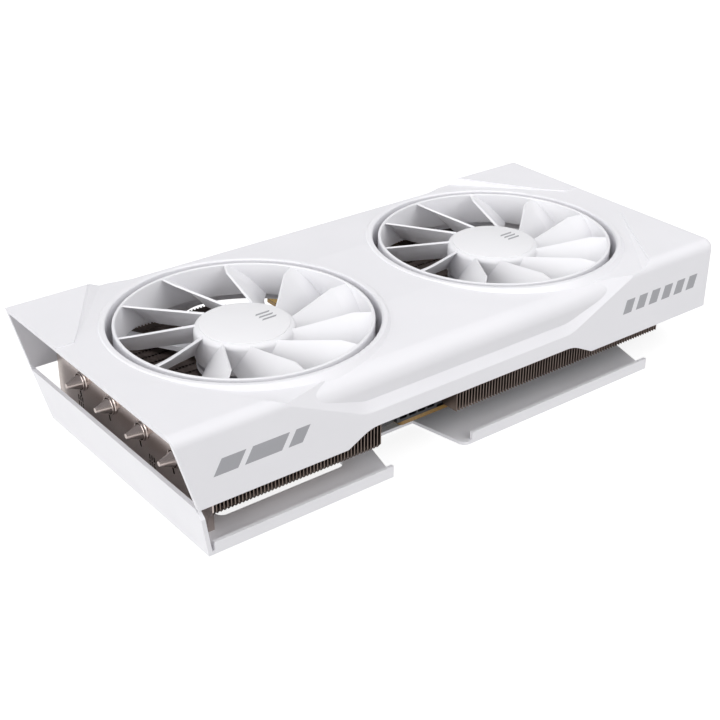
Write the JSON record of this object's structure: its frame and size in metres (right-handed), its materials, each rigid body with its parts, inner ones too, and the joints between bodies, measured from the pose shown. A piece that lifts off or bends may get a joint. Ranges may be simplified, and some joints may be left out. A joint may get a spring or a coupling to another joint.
{
  "type": "graphics card",
  "caption": "Flat expansion card with a white fan shroud, finned heat-pipe cooler, edge connector, display sockets and a folded white backplate with a flow-through window.",
  "frame": {"origin": "on the backplate's outer face, under the middle of the fan shroud's length and width", "axes": "+X along the card towards the I/O bracket, +Y towards the edge connector, +Z out of the fans, away from the backplate"},
  "size_m": [0.2608, 0.1312, 0.0465],
  "materials": {
    "shroud_plastic": "fine satin white moulding",
    "fan_plastic": "satin white moulding",
    "cap_plastic": "smooth semi-gloss white disc",
    "frame_plastic": "matte light grey moulding",
    "white_metal": "satin white powder coat",
    "black_metal": "matte black paint",
    "black_plastic": "matte black moulding",
    "board": "black solder mask over glass laminate, amber cut edge",
    "gold": "gold plating",
    "package": "dark green laminate",
    "die": "polished silicon",
    "chip": "moulded epoxy",
    "pad": "soft silicone",
    "choke": "pressed ferrite",
    "can": "bare can",
    "nickel": "nickel-plated copper, brownish grey",
    "fin": "nickel-toned aluminium sheet",
    "bracket_steel": "plated steel sheet",
    "socket_steel": "drawn steel shell",
    "screw_steel": "zinc-plated steel",
    "spacer_brass": "turned brass",
    "magnet": "ferrite and laminated iron",
    "copper": "enamelled copper wire"
  },
  "bodies": {
    "card": {"backplate": "white_metal", "board_spacers": "spacer_brass", "bracket_screws": "screw_steel", "capacitors": "can", "circuit_board": "board", "cold_plate": "nickel", "cooler_screws": "screw_steel", "cooler_springs": "screw_steel", "display_sockets": "socket_steel", "edge_contacts": "gold", "fan_screws": "screw_steel", "fan_shroud": "shroud_plastic", "gpu_die": "die", "gpu_package": "package", "head_fan_bearing": "spacer_brass", "head_fan_frame": "frame_plastic", "head_fins": "fin", "head_motor_board": "board", "head_stator_coils": "copper", "head_stator_core": "magnet", "heat_pipe_1": "nickel", "heat_pipe_2": "nickel", "heat_pipe_3": "nickel", "heat_pipe_4": "nickel", "io_bracket": "bracket_steel", "memory_chips": "chip", "power_chokes": "choke", "power_inlet": "black_plastic", "power_pins": "gold", "power_stages": "chip", "retaining_plate": "bracket_steel", "shroud_screws": "screw_steel", "socket_tongues": "black_plastic", "stiffening_frame": "black_metal", "tail_end_fin": "nickel", "tail_fan_bearing": "spacer_brass", "tail_fan_frame": "frame_plastic", "tail_fins": "fin", "tail_motor_board": "board", "tail_posts": "nickel", "tail_rails": "nickel", "tail_screws": "screw_steel", "tail_stator_coils": "copper", "tail_stator_core": "magnet", "thermal_pads": "pad", "video_socket": "socket_steel"},
    "tail_rotor": {"tail_fan_rotor": "fan_plastic", "tail_hub_cap": "cap_plastic", "tail_rotor_yoke": "screw_steel", "tail_rotor_magnet": "magnet", "tail_fan_shaft": "screw_steel"},
    "head_rotor": {"head_fan_rotor": "fan_plastic", "head_hub_cap": "cap_plastic", "head_rotor_yoke": "screw_steel", "head_rotor_magnet": "magnet", "head_fan_shaft": "screw_steel"}
  },
  "joints": [
    {"name": "tail_fan_spin", "type": "hinge", "parent": "card", "child": "tail_rotor", "pos_m": [-0.0605, 0, 0.04], "axis": [0, 0, 1], "continuous": true},
    {"name": "head_fan_spin", "type": "hinge", "parent": "card", "child": "head_rotor", "pos_m": [0.0575, 0, 0.04], "axis": [0, 0, 1], "continuous": true}
  ]
}
